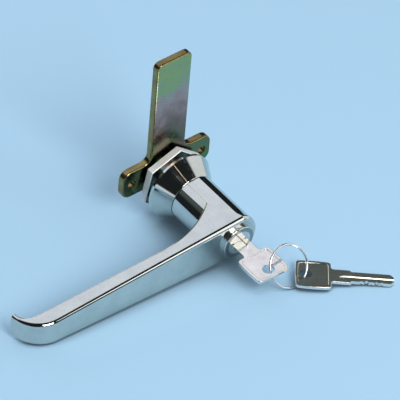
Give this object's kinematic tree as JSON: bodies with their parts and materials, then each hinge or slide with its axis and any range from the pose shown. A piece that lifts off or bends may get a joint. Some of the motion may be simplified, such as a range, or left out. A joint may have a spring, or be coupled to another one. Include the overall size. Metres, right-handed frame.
{
  "type": "locking l-handle",
  "caption": "Chromed L-shaped lever handle on a tapered round rose, with a key lock in its head, a flat cam plate with rod holes on its spindle, and keys on a wire ring.",
  "frame": {"origin": "on the turning axis of the handle, in the plane of the door's outer face", "axes": "+Y along the turning axis into the door, -X along the lever at rest, +Z along the blade of the cam at rest"},
  "size_m": [0.1866, 0.1322, 0.0999],
  "materials": {
    "chrome_plate": "polished chrome plate on zinc casting",
    "nut_plate": "bright zinc plate on steel",
    "yellow_zinc": "yellow passivated zinc plate, iridescent",
    "lock_plate": "chrome plate",
    "nickel_plate": "nickel plate",
    "bright_steel": "bright drawn steel",
    "spring_steel": "spring steel",
    "brass": "pressed brass"
  },
  "bodies": {
    "mounting": {"rose": "chrome_plate", "fixing_nut": "nut_plate"},
    "lever": {"handle": "chrome_plate", "cam": "yellow_zinc", "disc_spring": "spring_steel", "cam_washer": "nut_plate", "cam_screw": "nut_plate", "lock_housing": "lock_plate"},
    "plug": {"lock_plug": "lock_plate", "plug_clip": "spring_steel", "lock_driver": "bright_steel", "wafer_1": "brass", "wafer_2": "brass", "wafer_3": "brass", "wafer_4": "brass", "wafer_5": "brass", "wafer_spring_1": "spring_steel", "wafer_spring_2": "spring_steel", "wafer_spring_3": "spring_steel", "wafer_spring_4": "spring_steel", "wafer_spring_5": "spring_steel"},
    "bolt": {"lock_bolt": "bright_steel"},
    "inserted_key": {"key": "nickel_plate"},
    "ring": {"key_ring": "bright_steel"},
    "hanging_key": {"spare_key": "nickel_plate"}
  },
  "joints": [
    {"name": "handle_turn", "type": "hinge", "parent": "mounting", "child": "lever", "pos_m": [0, 0, 0], "axis": [0, 1, 0], "range_deg": [0, 90]},
    {"name": "plug_turn", "type": "hinge", "parent": "lever", "child": "plug", "pos_m": [0, 0, 0], "axis": [0, 1, 0], "range_deg": [0, 90]},
    {"name": "bolt_slide", "type": "slide", "parent": "lever", "child": "bolt", "axis": [0, 0, -1], "range_m": [0, 0.0019]},
    {"name": "key_draw", "type": "slide", "parent": "plug", "child": "inserted_key", "axis": [0, -1, 0], "range_m": [0, 0.0235]},
    {"name": "ring_swing", "type": "hinge", "parent": "inserted_key", "child": "ring", "pos_m": [0.0013, -0.07465, 0], "axis": [1, 0, 0], "range_deg": [-8, 60]},
    {"name": "spare_swing", "type": "hinge", "parent": "ring", "child": "hanging_key", "pos_m": [0.01975, -0.08161, -0.00891], "axis": [0.7254, 0.4238, 0.5424], "range_deg": [-15, 15]}
  ],
  "couplings": [
    {"joint": "plug_turn", "follows": "bolt_slide", "rad_per_m": 826.73}
  ]
}
